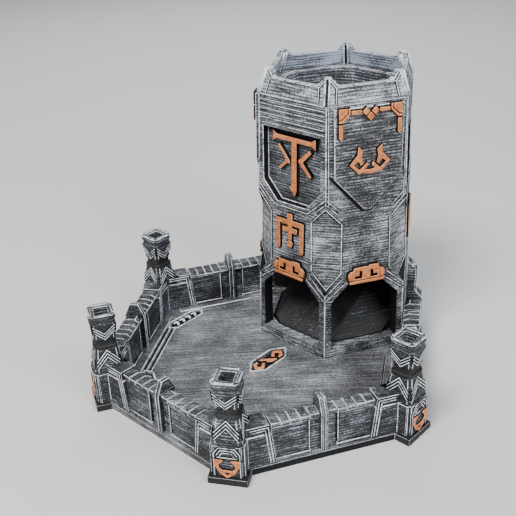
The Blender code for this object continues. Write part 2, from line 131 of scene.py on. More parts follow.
FRET_AT = 73.8  # centre of the tray to the middle of a corner fret
FRET = ((-13.4, 0.0), (-10.2, 3.2), (10.2, 3.2), (13.4, 0.0), (10.2, -3.2), (-10.2, -3.2))
FRET_RIM = (1.09, 1.30)  # how much longer and wider its raised rim is
HOOKS_AT = (-7.6, -2.5, 2.6, 7.7)
HOOK = ((-1.9, -2.1), (1.7, -2.1), (1.7, -0.9), (-0.3, -0.9), (1.3, 2.1), (-0.4, 2.1), (-1.9, -0.5))
ROOT = -0.3  # how deep raised trim is rooted in the face it stands on
LINE_EDGE = 0.12
BARE_TOWARDS_TOWER = (10.0, 14.0)  # where the thinly brushed rim of the slab starts, along y
BLACK = (0.0065, 0.0070, 0.0080)
GREY = (0.125, 0.130, 0.141)
PALE = (0.60, 0.635, 0.69)
EDGE_PALE = (0.86, 0.90, 0.96)
COURSE = 1.7 * MM  # height of the printed courses the brush picks out
UPRIGHT_GRAIN = (70.0, 70.0, 950.0)  # grains of a stroke to the metre along x, y and z
LEVEL_GRAIN = (55.0, 900.0, 900.0)  # the same along and across the infill
THREAD_FINER = 2.1
LYING = (0.70, 0.85)  # how level a face is where its strokes turn to follow the infill
EVEN_COVER = 2.55  # what the strokes, threads, patches and grit add up to on average
THIN_COAT = (-0.30, 0.22)  # cover at which a thin coat starts and is complete
THICK_COAT = (0.02, 0.66)
MITRE_LIMIT = 0.35  # keeps a sharp turn of a ribbon from running out to a spike


class Wire:
    """One output of a shader node, so that shader maths can be written as plain sums."""

    def __init__(self, paint, socket):
        self.paint = paint
        self.socket = socket

    def maths(self, operation, *terms):
        return self.paint.node("Math", {"operation": operation}, dict(enumerate(terms)))

    def __add__(self, other):
        return self.maths("ADD", self, other)

    def __sub__(self, other):
        return self.maths("SUBTRACT", self, other)

    def __rsub__(self, other):
        return self.maths("SUBTRACT", other, self)

    def __mul__(self, other):
        return self.maths("MULTIPLY", self, other)

    __radd__ = __add__
    __rmul__ = __mul__


class Paint:
    """A material.  node() adds one shader node: its type, its settings and what its sockets take."""

    def __init__(self, name):
        self.material = bpy.data.materials.new(name)
        self.material.use_nodes = True
        self.tree = self.material.node_tree
        self.shader = self.tree.nodes["Principled BSDF"]
        self.place = self.node("TexCoord", output="Object")

    def feed(self, socket, value):
        if isinstance(value, Wire):
            self.tree.links.new(value.socket, socket)
        else:
            socket.default_value = value

    def node(self, kind, settings=(), sockets=(), output=0):
        made = self.tree.nodes.new("ShaderNode" + kind)
        for key, value in dict(settings).items():
            setattr(made, key, value)
        for key, value in dict(sockets).items():
            self.feed(made.inputs[key], value)
        return Wire(self, made.outputs[output])

    def noise(self, stretch, turn, detail):
        """Noise whose grain is given by how many grains a metre holds along x, y and z."""
        at = self.place
        if turn:
            at = self.node("Mapping", (), {"Vector": at, "Rotation": (0.0, 0.0, turn)})
        at = self.node("Mapping", (), {"Vector": at, "Scale": stretch})
        return self.node("TexNoise", (), {"Vector": at, "Scale": 1.0, "Detail": detail, "Roughness": 0.6})

    def step(self, value, low, high):
        """0 below low, 1 above high, and smooth between."""
        limits = {"Value": value, "From Min": low, "From Max": high}
        return self.node("MapRange", {"interpolation_type": "SMOOTHSTEP"}, limits)

    def blend(self, share, first, second):
        colours = {0: share}
        for key, colour in ((6, first), (7, second)):
            colours[key] = colour if isinstance(colour, Wire) else (*colour, 1.0)
        return self.node("Mix", {"data_type": "RGBA"}, colours, output=2)

    def finish(self, colour, roughness, height, bump_mm, metallic=0.0):
        bump = self.node("Bump", (), {"Height": height, "Distance": bump_mm * MM, "Strength": 0.7})
        self.feed(self.shader.inputs["Base Color"], colour)
        self.feed(self.shader.inputs["Roughness"], roughness)
        self.feed(self.shader.inputs["Metallic"], metallic)
        self.feed(self.shader.inputs["Normal"], bump)
        return self.material


def brushed_stone(name, cover, cast=(1.0, 1.0, 1.0), level=LEVEL_GRAIN, contrast=1.0, more=None):
    """Black undercoat with pale paint dragged over the print; cover is how much of it caught.

    The strokes follow the printed courses on upright faces and the 45 degree infill on level ones.
    cast tints the paint, level is the grain on level faces, and contrast is how streaky the coat is.
    more gives a further share of cover that changes from place to place.
    """
    paint = Paint(name)
    facing = paint.node("SeparateXYZ", (), {0: paint.node("TexCoord", output="Normal")}, output=2)
    lying = paint.step(paint.node("Math", {"operation": "ABSOLUTE"}, {0: facing}), *LYING)
    height = paint.node("SeparateXYZ", (), {0: paint.place}, output=2)

    def grain(scale, detail):
        standing = paint.noise(tuple(scale * a for a in UPRIGHT_GRAIN), 0.0, detail)
        resting = paint.noise(tuple(scale * a for a in level), radians(-45.0), detail)
        return standing + (resting - standing) * lying

    strokes = grain(1.0, 4.0)
    threads = grain(THREAD_FINER, 2.0)
    patches = paint.noise((38.0, 38.0, 30.0), 0.0, 5.0)
    grit = paint.noise((1100.0, 1100.0, 1100.0), 0.0, 3.0)
    course = paint.node("Math", {"operation": "SINE"}, {0: height * (2.0 * pi / COURSE) + strokes * 3.5})
    course = course * (1 - lying)
    caught = strokes * 1.3 + threads * 0.9 + patches * 1.5 + grit * 1.4 + course * 0.14
    caught = caught * contrast + (cover - EVEN_COVER * contrast)
    if more:
        caught = caught + more(paint)
    thin = paint.step(caught, *THIN_COAT)
    thick = paint.step(caught, *THICK_COAT)
    grey = tuple(a * b for a, b in zip(GREY, cast))
    pale = tuple(a * b for a, b in zip(PALE, cast))
    colour = paint.blend(thick, paint.blend(thin, BLACK, grey), pale)
    return paint.finish(colour, 0.55 + 0.25 * patches, strokes + threads * 0.5 + course * 0.3, 0.30)


def brushed_edge(name, cover):
    """Edges and raised lines, where the dry brush left the most paint; cover is how much stayed."""
    paint = Paint(name)
    rub = paint.noise((260.0, 260.0, 260.0), 0.0, 3.0)
    grit = paint.noise((1900.0, 1900.0, 1900.0), 0.0, 1.0)
    worn = paint.step(rub * 0.6 + grit * 0.4, 0.58 - cover, 0.74 - cover)
    colour = paint.blend(worn, GREY, EDGE_PALE)
    return paint.finish(colour, 0.48 + 0.2 * rub, rub + grit, 0.12)


def alone(piece):
    """Leaves one piece selected."""
    bpy.ops.object.select_all(action="DESELECT")
    piece.select_set(True)
    bpy.context.view_layer.objects.active = piece


def coat(piece, *finishes):
    """Gives a piece its finishes, in order."""
    piece.data.materials.clear()
    for finish in finishes:
        piece.data.materials.append(finish)


def worked_copy(node, *finishes):
    """A new piece in the shape of a CAD solid, with its flat faces whole again."""
    piece = bpy.data.objects.new(node + "_painted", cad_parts[node].data.copy())
    bpy.context.scene.collection.objects.link(piece)
    alone(piece)
    coat(piece, *finishes)
    bpy.ops.object.mode_set(mode="EDIT")
    bpy.ops.mesh.select_all(action="SELECT")
    bpy.ops.mesh.customdata_custom_splitnormals_clear()
    bpy.ops.mesh.remove_doubles(threshold=1e-6)
    bpy.ops.mesh.dissolve_limited(angle_limit=radians(0.4))
    bpy.ops.object.mode_set(mode="OBJECT")
    bpy.ops.object.shade_flat()
    return piece


def block(low, high, place):
    """A square-edged block between two corners, in millimetres, set in a place on the object."""
    bpy.ops.object.select_all(action="DESELECT")
    bpy.ops.mesh.primitive_cube_add(size=1.0)
    piece = bpy.context.object
    size = Matrix.Diagonal([(b - a) * MM for a, b in zip(low, high)]).to_4x4()
    middle = Matrix.Translation([(a + b) / 2 * MM for a, b in zip(low, high)])
    piece.data.transform(place @ middle @ size)
    return piece


def plate(name, outlines, low, high, place, edge=0.0, finishes=(), grow=0.0):
    """Flat shapes cut from sheet, in millimetres: x to the right, y up, between two heights off a face.

    Its finishes are for the face, the eased edge and the sides; grow makes its outlines wider all round.
    """
    curve = bpy.data.curves.new(name, "CURVE")
    curve.dimensions = "2D"
    curve.fill_mode = "BOTH"
    for outline in outlines:
        spline = curve.splines.new("POLY")
        spline.points.add(len(outline) - 1)
        for point, (x, y) in zip(spline.points, outline):
            point.co = (x * MM, y * MM, 0.0, 1.0)
        spline.use_cyclic_u = True
    curve.extrude = ((high - low) / 2 - edge) * MM
    curve.bevel_depth = edge * MM
    curve.bevel_resolution = 0
    curve.offset = (grow - edge) * MM
    piece = bpy.data.objects.new(name, curve)
    bpy.context.scene.collection.objects.link(piece)
    alone(piece)
    bpy.ops.object.convert(target="MESH")
    bpy.ops.object.mode_set(mode="EDIT")
    bpy.ops.mesh.select_all(action="SELECT")
    bpy.ops.mesh.remove_doubles(threshold=2e-6)
    bpy.ops.mesh.normals_make_consistent(inside=False)
    bpy.ops.object.mode_set(mode="OBJECT")
    piece = bpy.context.object
    coat(piece, *finishes)
    for face in piece.data.polygons:
        kind = 0 if face.normal.z > 0.95 else 1 if face.normal.z > 0.2 else 2
        face.material_index = max(min(kind, len(finishes) - 1), 0)
    piece.data.transform(place @ Matrix.Translation((0.0, 0.0, (low + high) / 2 * MM)))
    return piece


def ribbon(line, width):
    """Outline of a strip laid along a line of points, mitred where the line turns."""
    points = [Vector(p) for p in line]
    left = []
    right = []
    for i, point in enumerate(points):
        if i and i + 1 < len(points):
            runs = [point - points[i - 1], points[i + 1] - point]
        elif i:
            runs = [point - points[i - 1]]
        else:
            runs = [points[1] - point]
        sides = [Vector((-run.y, run.x)).normalized() for run in runs]
        side = sum(sides, Vector((0.0, 0.0))).normalized()
        side *= width / 2 / max(side.dot(sides[0]), MITRE_LIMIT)
        left.append(tuple(point + side))
        right.append(tuple(point - side))
    return left + right[::-1]


def frame_line(corners, width):
    """The two outlines of a strip laid all round a many-sided shape."""
    points = [Vector(p) for p in corners]
    outlines = ([], [])
    for before, point, after in zip(points[-1:] + points[:-1], points, points[1:] + points[:1]):
        sides = [Vector((-run.y, run.x)).normalized() for run in (point - before, after - point)]
        side = (sides[0] + sides[1]).normalized()
        side *= width / 2 / side.dot(sides[0])
        outlines[0].append(tuple(point + side))
        outlines[1].append(tuple(point - side))
    return list(outlines)


def join(main, *others):
    """Makes several shapes one piece."""
    alone(main)
    for other in others:
        other.select_set(True)
    bpy.ops.object.join()
    return main


def carve(piece, cutters):
    """Cuts shapes out of a piece."""
    tool = join(*cutters)
    cut = piece.modifiers.new("carve", "BOOLEAN")
    cut.operation = "DIFFERENCE"
    cut.solver = "EXACT"
    cut.object = tool
    alone(piece)
    bpy.ops.object.modifier_apply(modifier=cut.name)
    bpy.data.objects.remove(tool, do_unlink=True)


def soften(piece, width, angle=28.0):
    """Takes the sharp edges off and gives them the second finish."""
    bevel = piece.modifiers.new("edges", "BEVEL")
    bevel.width = width * MM
    bevel.segments = 1
    bevel.limit_method = "ANGLE"
    bevel.angle_limit = radians(angle)
    bevel.material = 1
    alone(piece)
    bpy.ops.object.modifier_apply(modifier=bevel.name)


def repaint(piece, is_theirs, finish):
    """Gives some faces another finish, such as the hollows: bare undercoat and painted shade."""
    piece.data.materials.append(finish)
    for face in piece.data.polygons:
        if is_theirs(face):
            face.material_index = len(piece.data.materials) - 1


def side_place(centre, direction, distance, height, lean=0.0):
    """A place on a side: x along it to the right, y up it, z out of it."""
    a = radians(direction)
    basis = Matrix(((-sin(a), 0.0, cos(a)), (cos(a), 0.0, sin(a)), (0.0, 1.0, 0.0))).to_4x4()
    basis.translation = Vector((centre.x + distance * cos(a), centre.y + distance * sin(a), height))
    return basis @ Matrix.Rotation(-lean, 4, "X")


def hand_over(piece, node, body):
    """The piece stands for a CAD node, which is hidden, and moves with its body."""
    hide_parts(node)
    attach(piece, body)


left_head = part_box("turret_head_left")
right_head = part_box("turret_head_right")
tray_centre = (sum(left_head, Vector()) + sum(right_head, Vector())) / 4
RING = (right_head[0].x + right_head[1].x - left_head[0].x - left_head[1].x) / 4
FLOOR_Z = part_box("tray_floor")[1].z


def outside_walls(paint):
    """The corners of the slab beyond the turrets were hardly brushed."""
    middle = (tray_centre.x, tray_centre.y, FLOOR_Z)
    away = paint.node("VectorMath", {"operation": "DISTANCE"}, {0: paint.place, 1: middle}, output=1)
    beyond = paint.step(away, RING + 2.0 * MM, RING + 4.0 * MM)
    back = paint.node("SeparateXYZ", (), {0: paint.place}, output=1)
    by_tower = paint.step(back, BARE_TOWARDS_TOWER[0] * MM, BARE_TOWARDS_TOWER[1] * MM)
    return beyond * (by_tower - 1) * 0.75


def in_floor(face):
    """Whether a face is the side or the bottom of a hollow cut into the floor."""
    inside = face.center.xy.length < HOLLOW_REACH * MM and face.material_index == 0
    return inside and UNDERSIDE * MM < face.center.z < FLOOR_Z - HOLLOW_TOP * MM


floor_paint = brushed_stone("floor_paint", 0.04, level=(30.0, 1000.0, 1000.0), contrast=0.58,
                            more=outside_walls)
edge_paint = brushed_edge("edge_paint", 0.21)
# Near-black finish: bare undercoat in hollows, and painted shade in arches, pockets and gaps.
undercoat_and_shade_paint = brushed_stone("undercoat_and_shade_paint", -0.70)
undercoat_and_shade_paint.node_tree.nodes["Principled BSDF"].inputs["Specular IOR Level"].default_value = 0.2
floor = worked_copy("tray_floor", floor_paint, edge_paint)
cutters = []
for direction, grooves, ends, _ in SIDES:
    place = side_place(tray_centre, direction, 0.0, FLOOR_Z)
    for near, far in grooves:
        cutters.append(block((ends[0], -GROOVE_DEEP, near), (ends[1], 1.0, far), place))
LAID_FLAT = Matrix.Rotation(radians(-90.0), 4, "X")
corner_places = []
for axis in CORNERS:
    corner_places.append(side_place(tray_centre, axis, FRET_AT * MM, FLOOR_Z) @ LAID_FLAT)
    cutters.append(plate("fret_bed", [FRET], -GROOVE_DEEP, 1.0, corner_places[-1]))
carve(floor, cutters)
soften(floor, FLOOR_EDGE)
repaint(floor, in_floor, undercoat_and_shade_paint)
line_finishes = (edge_paint, edge_paint, undercoat_and_shade_paint)
trim = []
for direction, _, _, ends in SIDES:
    lying = side_place(tray_centre, direction, 0.0, FLOOR_Z) @ LAID_FLAT
    outline = [(ends[0], -CURB[0]), (ends[1], -CURB[0]), (ends[1], -CURB[1]), (ends[0], -CURB[1])]
    trim.append(plate("curb", [outline], -0.4, CURB_RISE, lying, 0.30, (floor_paint, edge_paint)))
    if direction in OPEN_SIDES:
        rails = [ribbon([(-RAIL_END, -far), (RAIL_END, -far)], 0.5) for far in RAILS_AT]
        trim.append(plate("rails", rails, ROOT, 0.22, lying, LINE_EDGE, line_finishes))
for place in corner_places:
    hooks = [[(at + x, y) for x, y in HOOK] for at in HOOKS_AT]
    trim.append(plate("fret_hooks", hooks, -GROOVE_DEEP - 0.2, 0.05, place, LINE_EDGE, line_finishes))
    rim = [(x * FRET_RIM[0], y * FRET_RIM[1]) for x, y in FRET]
    trim.append(plate("fret_rim", frame_line(rim, 0.7), ROOT, 0.30, place, LINE_EDGE, (edge_paint,) * 2))
join(floor, *trim)
hand_over(floor, "tray_floor", "tray")


# ---- Floor rune ----
# A small sign let into the floor in front of the tower, inside a thin raised rim.  It is plastic, printed
# with the floor and painted copper by hand, with a dark gap round it of undercoat and painted shadow.
COPPER = (0.48, 0.120, 0.030)
COPPER_LIT = (0.87, 0.345, 0.130)
COPPER_DARK = (0.13, 0.030, 0.010)
SIGN_EDGE = 0.25
SHADOW_GROUND_WIDER = 0.5  # how far the dark ground of undercoat and painted shadow shows round a sign
RUNE_RIM = ((16.2, 0.0), (9.1, 6.1), (-9.1, 6.1), (-16.2, 0.0), (-9.1, -6.1), (9.1, -6.1))


def brushed_copper(name, light):
    """Copper-orange paint, streaky and thin in patches; light is how much of it is bright copper."""
    paint = Paint(name)
    streaks = paint.noise((160.0, 160.0, 900.0), 0.0, 3.0)
    spots = paint.noise((900.0, 900.0, 900.0), 0.0, 2.0)
    fresh_and_highlight = paint.step(streaks * 0.6 + spots * 0.5, 0.46 - light, 0.70 - light)
    thin = paint.step(spots * 0.8 + streaks * 0.3, 0.61, 0.76)
    colour = paint.blend(fresh_and_highlight, COPPER, COPPER_LIT)
    colour = paint.blend(thin * 0.75, colour, COPPER_DARK)
    return paint.finish(colour, 0.42 + 0.2 * spots, streaks + spots * 0.6, 0.16, 0.25)


def sign(name, outlines, low, high, place, holes=()):
    """Painted relief: copper on its face; its black sides and ground are undercoat and painted shadow."""
    relief = plate(name, outlines + list(holes), low, high, place, SIGN_EDGE, copper_finishes)
    shadow_grounds = [plate("ground", [outline], low - 0.1, low + 0.2, place, 0.0, (undercoat_and_shade_paint,), SHADOW_GROUND_WIDER)
               for outline in outlines]
    return join(relief, *shadow_grounds)


copper_paint = brushed_copper("copper_paint", 0.02)
# The eased edges of the copper relief take more bright copper: a painted highlight.
copper_highlight_edge = brushed_copper("copper_highlight_edge", 0.32)
copper_finishes = (copper_paint, copper_highlight_edge, undercoat_and_shade_paint)
rune_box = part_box("floor_rune")
rune_middle = (rune_box[0] + rune_box[1]) / 2
rune_place = Matrix.Translation((rune_middle.x, rune_middle.y, rune_box[1].z))
rune_place = rune_place @ Matrix.Rotation(radians(90.0), 4, "Z")
rune_deep = (rune_box[1].z - rune_box[0].z) / MM
floor_hook = [
    (-12.6, -0.2), (-9.6, 3.6), (-6.2, 3.6), (-6.9, 1.8), (-8.7, 1.8), (-9.8, -0.2), (-8.3, -2.0),
    (-4.9, 0.6), (-3.7, -0.9), (-8.2, -4.0), (-10.0, -3.4),
]
floor_bar = [
    (-4.2, 3.9), (-2.3, 3.9), (1.1, 0.3), (4.6, -2.8), (3.6, -4.0), (0.4, -3.4), (-2.4, -0.9), (-1.2, 0.3),
    (-3.8, 2.5),
]
floor_sign = [floor_hook, floor_bar, [(-x, -y) for x, y in floor_hook]]
rune = sign("floor_rune_painted", floor_sign, 0.1 - rune_deep, -0.05, rune_place)
hand_over(rune, "floor_rune", "tray")
rim = plate("floor_rune_rim", frame_line(RUNE_RIM, 0.6), ROOT, 0.2, rune_place, 0.1, (edge_paint, edge_paint))
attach(rim, "tray")


# ---- Tray walls ----
# Five wall runs of printed plastic on the slab between the turrets: a plinth, a plain panel and a coping of
# small blocks that slope on their inner side.  In the middle of each stands a pilaster of two thin fins,
# with a sunk band on either side of it below the coping.
SIDE = RING * sqrt(3) / 2  # centre of the tray to the middle of a wall
STAND_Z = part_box("wall_front")[0].z
WALL_EDGE = 0.26
WALL_HIGH = 24.0
WALL_HALF = 5.0  # middle of the wall to its plinth and coping
PLINTH_HIGH = 1.6
PANEL_HALF = 4.2
PANEL_FOOT = 2.2
PANEL_GAP = 0.5  # between the panel and the coping
PANEL_LINE = (2.4, 20.6)  # heights of the raised line down the panel's edge
CORE_HALF = 3.2  # middle of the wall to the bottom of the sunk bands
BAND = 7.3  # middle of the pilaster to the far edge of the sunk band
FIN_IN = 0.45
FIN_OUT = 1.85
FIN = ((-6.1, 0.0), (6.1, 0.0), (6.1, WALL_HIGH), (2.7, 31.4), (-2.7, 31.4), (-6.1, WALL_HIGH))
WEB = ((-5.2, 0.0), (5.2, 0.0), (5.2, WALL_HIGH), (2.2, 29.9), (-2.2, 29.9), (-5.2, WALL_HIGH))
COPING_START = 2.3  # middle of the pilaster to the first coping block
COPING_BLOCK = 5.4
COPING_FOOT = 21.2
COPING_EAVES = 22.3  # the coping's inner side, below its sloping shoulder
COPING_RIDGE = 1.9  # middle of the wall to the top of that shoulder
COPING_GAP = 0.15  # from a block's end to the middle of its joint
UNEVEN_TOPS = (0.25, 0.15)  # how much lower every second and third block is laid
UNEVEN_FRONTS = 0.2
LAP = 0.2  # how far the parts of a wall run into each other
WALL_HALF_RUN = RING / MM / 2
WING = 19.0  # how far a turret's wing reaches along the wall, at the top
WING_HIGH = 24.4
WING_SLANT = 3.0  # how much further it reaches at the foot
PIER_LONG = 7.5
PIER_START = WALL_HALF_RUN - PIER_LONG * 0.70
CLEAR = 0.3

wall_paint = brushed_stone("wall_paint", -0.14, (0.95, 1.0, 1.07))
band_paint = brushed_stone("band_paint", -0.42, (0.95, 1.0, 1.07))
WALLS = {"front": 270, "front_right": 330, "front_left": 210, "right": 30, "left": 150}


def raised_lines(lines, width, place, rise=0.35, hollow=0.6):
    """Raised lines picked out in pale paint, each on a strip of undercoat and painted shade."""
    shade_beds = [plate("bed", [ribbon(line, width + 2 * hollow)], ROOT, 0.08, place, 0.0, (undercoat_and_shade_paint,))
            for line in lines]
    strips = [ribbon(line, width) for line in lines]
    return [plate("line", strips, ROOT, rise, place, 0.08, line_finishes)] + shade_beds


def mirrored(lines):
    """Lines and their mirror images about the middle."""
    return [list(line) for line in lines] + [[(-x, y) for x, y in line] for line in lines]


def wall_end(label, side, up):
    """Where a run stops at a height: at a turret's slanting wing, or at the pier by the tower."""
    if (label, side) in (("right", 1), ("left", -1)):
        return PIER_START - CLEAR
    return WALL_HALF_RUN - WING - CLEAR - WING_SLANT * (1 - up / WING_HIGH)


def slab(side, start, ends, low, high):
    """Outline of a stretch of wall from a start to its end at two heights, on one side of the pilaster."""
    return [(side * start, low), (side * ends[0], low), (side * ends[1], high), (side * start, high)]


def in_band(inward):
    """Whether a face is part of the sunk bands beside the pilaster; inward turns it to the wall's place."""
    def test(face):
        middle = inward @ face.center
        beside = abs(middle.x) < BAND * MM and abs(middle.z) < (CORE_HALF + 0.05) * MM
        return face.material_index == 0 and beside and middle.y < COPING_FOOT * MM
    return test


for label, direction in WALLS.items():
    node = "wall_" + label
    place = side_place(tray_centre, direction, SIDE, STAND_Z)
    across = place @ Matrix.Rotation(radians(90.0), 4, "Y")
    parts = [plate("web", [WEB], -FIN_IN - 0.1, FIN_IN + 0.1, across),
             plate("fin", [FIN], FIN_IN, FIN_OUT, across), plate("fin", [FIN], -FIN_OUT, -FIN_IN, across)]
    for side in (-1, 1):
        low, knee = (wall_end(label, side, up) for up in (0.0, COPING_FOOT))
        core = slab(side, FIN_OUT - LAP, (low, knee), 0.0, COPING_FOOT + 2 * LAP)
        parts.append(plate("core", [core], -CORE_HALF, CORE_HALF, place))
        for face in (-1, 1):
            panel = slab(side, BAND, (low + 0.1, knee - 0.1), PANEL_FOOT, COPING_FOOT - PANEL_GAP)
            plinth = slab(side, BAND, (low, low + 0.2), 0.0, PLINTH_HIGH)
            for outline, depth in ((panel, PANEL_HALF), (plinth, WALL_HALF)):
                near, far = sorted((face * (CORE_HALF - 0.3), face * depth))
                parts.append(plate("panel", [outline], near, far, place))
        count = round((knee - COPING_START) / COPING_BLOCK)
        pitch = (knee - COPING_START) / count
        for k in range(count):
            near = side * (COPING_START + pitch * k + COPING_GAP)
            far = side * (COPING_START + pitch * (k + 1) - COPING_GAP)
            top = WALL_HIGH - UNEVEN_TOPS[0] * (k % 2) - UNEVEN_TOPS[1] * (k % 3)
            front = UNEVEN_FRONTS * ((k + 1) % 2) - WALL_HALF
            section = [(front, COPING_FOOT), (WALL_HALF, COPING_FOOT), (WALL_HALF, COPING_EAVES),
                       (COPING_RIDGE, top), (front, top)]
            parts.append(plate("coping", [section], min(near, far), max(near, far), across))
    wall = join(*parts)
    wall.name = node + "_run"
    coat(wall, wall_paint, edge_paint)
    soften(wall, WALL_EDGE)
    repaint(wall, in_band(place.inverted()), band_paint)
    for turn in (0.0, 180.0):
        faced = place @ Matrix.Rotation(radians(turn), 4, "Y")
        faced = faced @ Matrix.Translation((0.0, 0.0, PANEL_HALF * MM))
        lines = mirrored([[(BAND + 0.6, height) for height in PANEL_LINE]])
        wall = join(wall, *raised_lines(lines, 0.5, faced, 0.5))
    hand_over(wall, node, "tray")


# ---- End piers ----
# Where a rear wall meets the tower it ends in a ribbed pier, and the tower stands between the two.
# Each is plastic, printed with its wall and brushed like it.
PIER_HIGH = 50.6
RIBS_AT = (0.5, 2.6, 5.6)  # from the pier's start to each rib
RIB_WIDE = 1.2
TALL_RIB = ((20.0, -3.0), (PIER_HIGH - 2.5, 1.5))  # height and depth of its two corners
SHORT_RIB = ((1.8, 4.0), (25.6, 5.6))
for label, side in (("left", -1), ("right", 1)):
    node = "end_pier_" + label
    place = side_place(tray_centre, WALLS[label], SIDE, STAND_Z)
    pier = worked_copy(node, wall_paint, edge_paint)
    ribs = []
    for start in RIBS_AT:
        near, far = sorted((side * (PIER_START + start), side * (PIER_START + start + RIB_WIDE)))
        for low, high in (TALL_RIB, SHORT_RIB):
            ribs.append(block((near, *low), (far, *high), place))
    ribs = join(*ribs)
    coat(ribs, wall_paint, edge_paint)
    join(pier, ribs)
    soften(pier, WALL_EDGE)
    hand_over(pier, node, "tray")


# ---- Turret bases ----
# A square block on each corner of the tray with a short wing along both walls.  Its faces carry raised
# frames with clipped corners.  The four are the same plastic print, turned round the tray.
TURRETS = {"right": 0, "front_right": 300, "front_left": 240, "left": 180}
turret_at = tray_centre + Vector((RING, 0.0, 0.0))
BLOCK_HALF = (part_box("turret_base_right")[1].x - turret_at.x) / MM
WING_HALF = 5.9  # middle of the wall to a wing's face
FRAME_HALF = 6.7
FRAME_FOOT = 0.6
FRAME_TOP = 18.2
CLIPPED = (4.1, 14.6)  # where a frame's corner is clipped, across and up
FRAMES_IN = (0.0, 1.5, 3.0)  # how far each frame lies inside the first
CLIP_SHARE = 0.55  # how much of that its clipped corner moves in
CROSSBAR = ((-5.0, 12.3), (5.0, 12.3))
CORNER_LINES = (-0.9, 0.9)
CORNER_TOP = 18.4
WING_LINE_TOP = 23.3
WING_LINE_FOOT = 1.2
WING_LINE_REACH = 17.9
WING_LINE_SLANT = 2.5
WING_LINE_START = {1: 8.4, -1: 3.6}  # from the turret's middle, outside and inside the tray


def turned(piece, name, centre, angle):
    """A copy with its own mesh, turned about the upright line through a point."""
    twin = piece.copy()
    twin.data = piece.data.copy()
    twin.name = name
    bpy.context.scene.collection.objects.link(twin)
    about = Matrix.Translation(centre) @ Matrix.Rotation(radians(angle), 4, "Z") @ Matrix.Translation(-centre)
    twin.data.transform(about)
    return twin


def set_round(piece, kind, ending):
    """Puts a copy of one turret's part on each of the four corners, and takes the first one away."""
    for label, angle in TURRETS.items():
        node = f"{kind}_{label}"
        hand_over(turned(piece, node + ending, tray_centre, angle), node, "tray")
    bpy.data.objects.remove(piece, do_unlink=True)


base = worked_copy("turret_base_right", wall_paint, edge_paint)
soften(base, WALL_EDGE)
out_place = side_place(turret_at, 0, BLOCK_HALF * MM, STAND_Z)
frames = []
for inset in FRAMES_IN:
    half = FRAME_HALF - inset
    across, up = (size - inset * CLIP_SHARE for size in CLIPPED)
    line = [(-half, FRAME_FOOT), (-half, up), (-across, FRAME_TOP - inset), (across, FRAME_TOP - inset),
            (half, up), (half, FRAME_FOOT)]
    if inset:
        line = line[1:-1]
    frames.append(line)
frames.append(CROSSBAR)
trim = raised_lines(frames, 0.55, out_place, 0.4, 0.5)
for side in (-1, 1):
    corner = side_place(turret_at, 45 * side, (BLOCK_HALF - 1.1) * sqrt(2) * MM, STAND_Z)
    trim += raised_lines([[(x, FRAME_FOOT), (x, CORNER_TOP)] for x in CORNER_LINES], 0.45, corner, 0.3, 0.4)
for side in (-1, 1):
    wing_place = side_place(turret_at, 30 * side, 0.0, STAND_Z)
    for face in (-1, 1):
        lines = []
        for inset in FRAMES_IN[:2]:
            reach = WING_LINE_REACH - inset
            top = WING_LINE_TOP - inset
            line = [(WING_LINE_START[face], top), (reach, top), (reach + WING_LINE_SLANT, WING_LINE_FOOT)]
            lines.append([(side * face * x, y) for x, y in line])
        faced = wing_place @ Matrix.Rotation(radians(90.0 - 90.0 * face), 4, "Y")
        faced = faced @ Matrix.Translation((0.0, 0.0, (WING_HALF - 0.1) * MM))
        trim += raised_lines(lines, 0.55, faced, 0.35, 0.5)
join(base, *trim)
set_round(base, "turret_base", "_block")


# ---- Turret heads ----
# A post on each base: a tapered block with three raised chevrons on every side, a neck, and a flared head
# with three more, a raised rim and a square socket.  It is plastic, printed whole with the turret.
NECK = (33.8, 40.6)  # heights between which the neck is painted darker
FLARE_EDGES = (49.0, 54.0)  # heights between which its corners weren't picked out
HEAD_FOOT = 24.0
HEAD_FOOT_HALF = 7.8
LOWER_FLARE = atan2(1.4, 10.0)
LOWER_CHEVRON = ((-6.4, 2.3), (0.0, 9.2), (6.4, 2.3))
LOWER_STEP = -2.1  # from one chevron to the next
FLARE_FOOT = 40.0
FLARE_FOOT_HALF = 6.1
UPPER_FLARE = -atan2(0.9, 10.0)
UPPER_CHEVRON = ((-5.6, 5.2), (0.0, -0.2), (5.6, 5.2))
UPPER_STEP = 1.9
UPPER_SPREAD = (-0.2, 0.0, 0.2)  # how much further its points lie out with each step
HEAD_TOP = 55.0
RIM_BAR = ((-4.6, -6.9), (4.6, -6.9), (4.6, -5.5), (-4.6, -5.5))


def between(heights, coats):
    """Whether a face of the head lies between two heights and has one of these finishes."""
    def test(face):
        high_enough = heights[0] * MM < face.center.z - STAND_Z < heights[1] * MM
        return high_enough and face.material_index in coats
    return test


neck_paint = brushed_stone("neck_paint", -0.46)
head = worked_copy("turret_head_right", wall_paint, edge_paint)
soften(head, 0.22)
repaint(head, between(FLARE_EDGES, (1,)), wall_paint)
repaint(head, between(NECK, (0, 1, 2)), neck_paint)
trim = []
for direction in (0, 90, 180, 270):
    lower = side_place(turret_at, direction, HEAD_FOOT_HALF * MM, STAND_Z + HEAD_FOOT * MM, LOWER_FLARE)
    lines = [[(x, y + LOWER_STEP * k) for x, y in LOWER_CHEVRON] for k in range(3)]
    trim += raised_lines(lines, 0.5, lower, 0.35, 0.55)
    upper = side_place(turret_at, direction, FLARE_FOOT_HALF * MM, STAND_Z + FLARE_FOOT * MM, UPPER_FLARE)
    lines = [[(x + out * k, y + UPPER_STEP * k) for (x, y), out in zip(UPPER_CHEVRON, UPPER_SPREAD)]
             for k in range(3)]
    trim += raised_lines(lines, 0.45, upper, 0.35, 0.55)
    rim = side_place(turret_at, direction, 0.0, STAND_Z + HEAD_TOP * MM) @ LAID_FLAT
    trim.append(plate("rim_bar", [RIM_BAR], -0.2, 0.7, rim, 0.2, (wall_paint, edge_paint)))
join(head, *trim)
set_round(head, "turret_head", "_post")


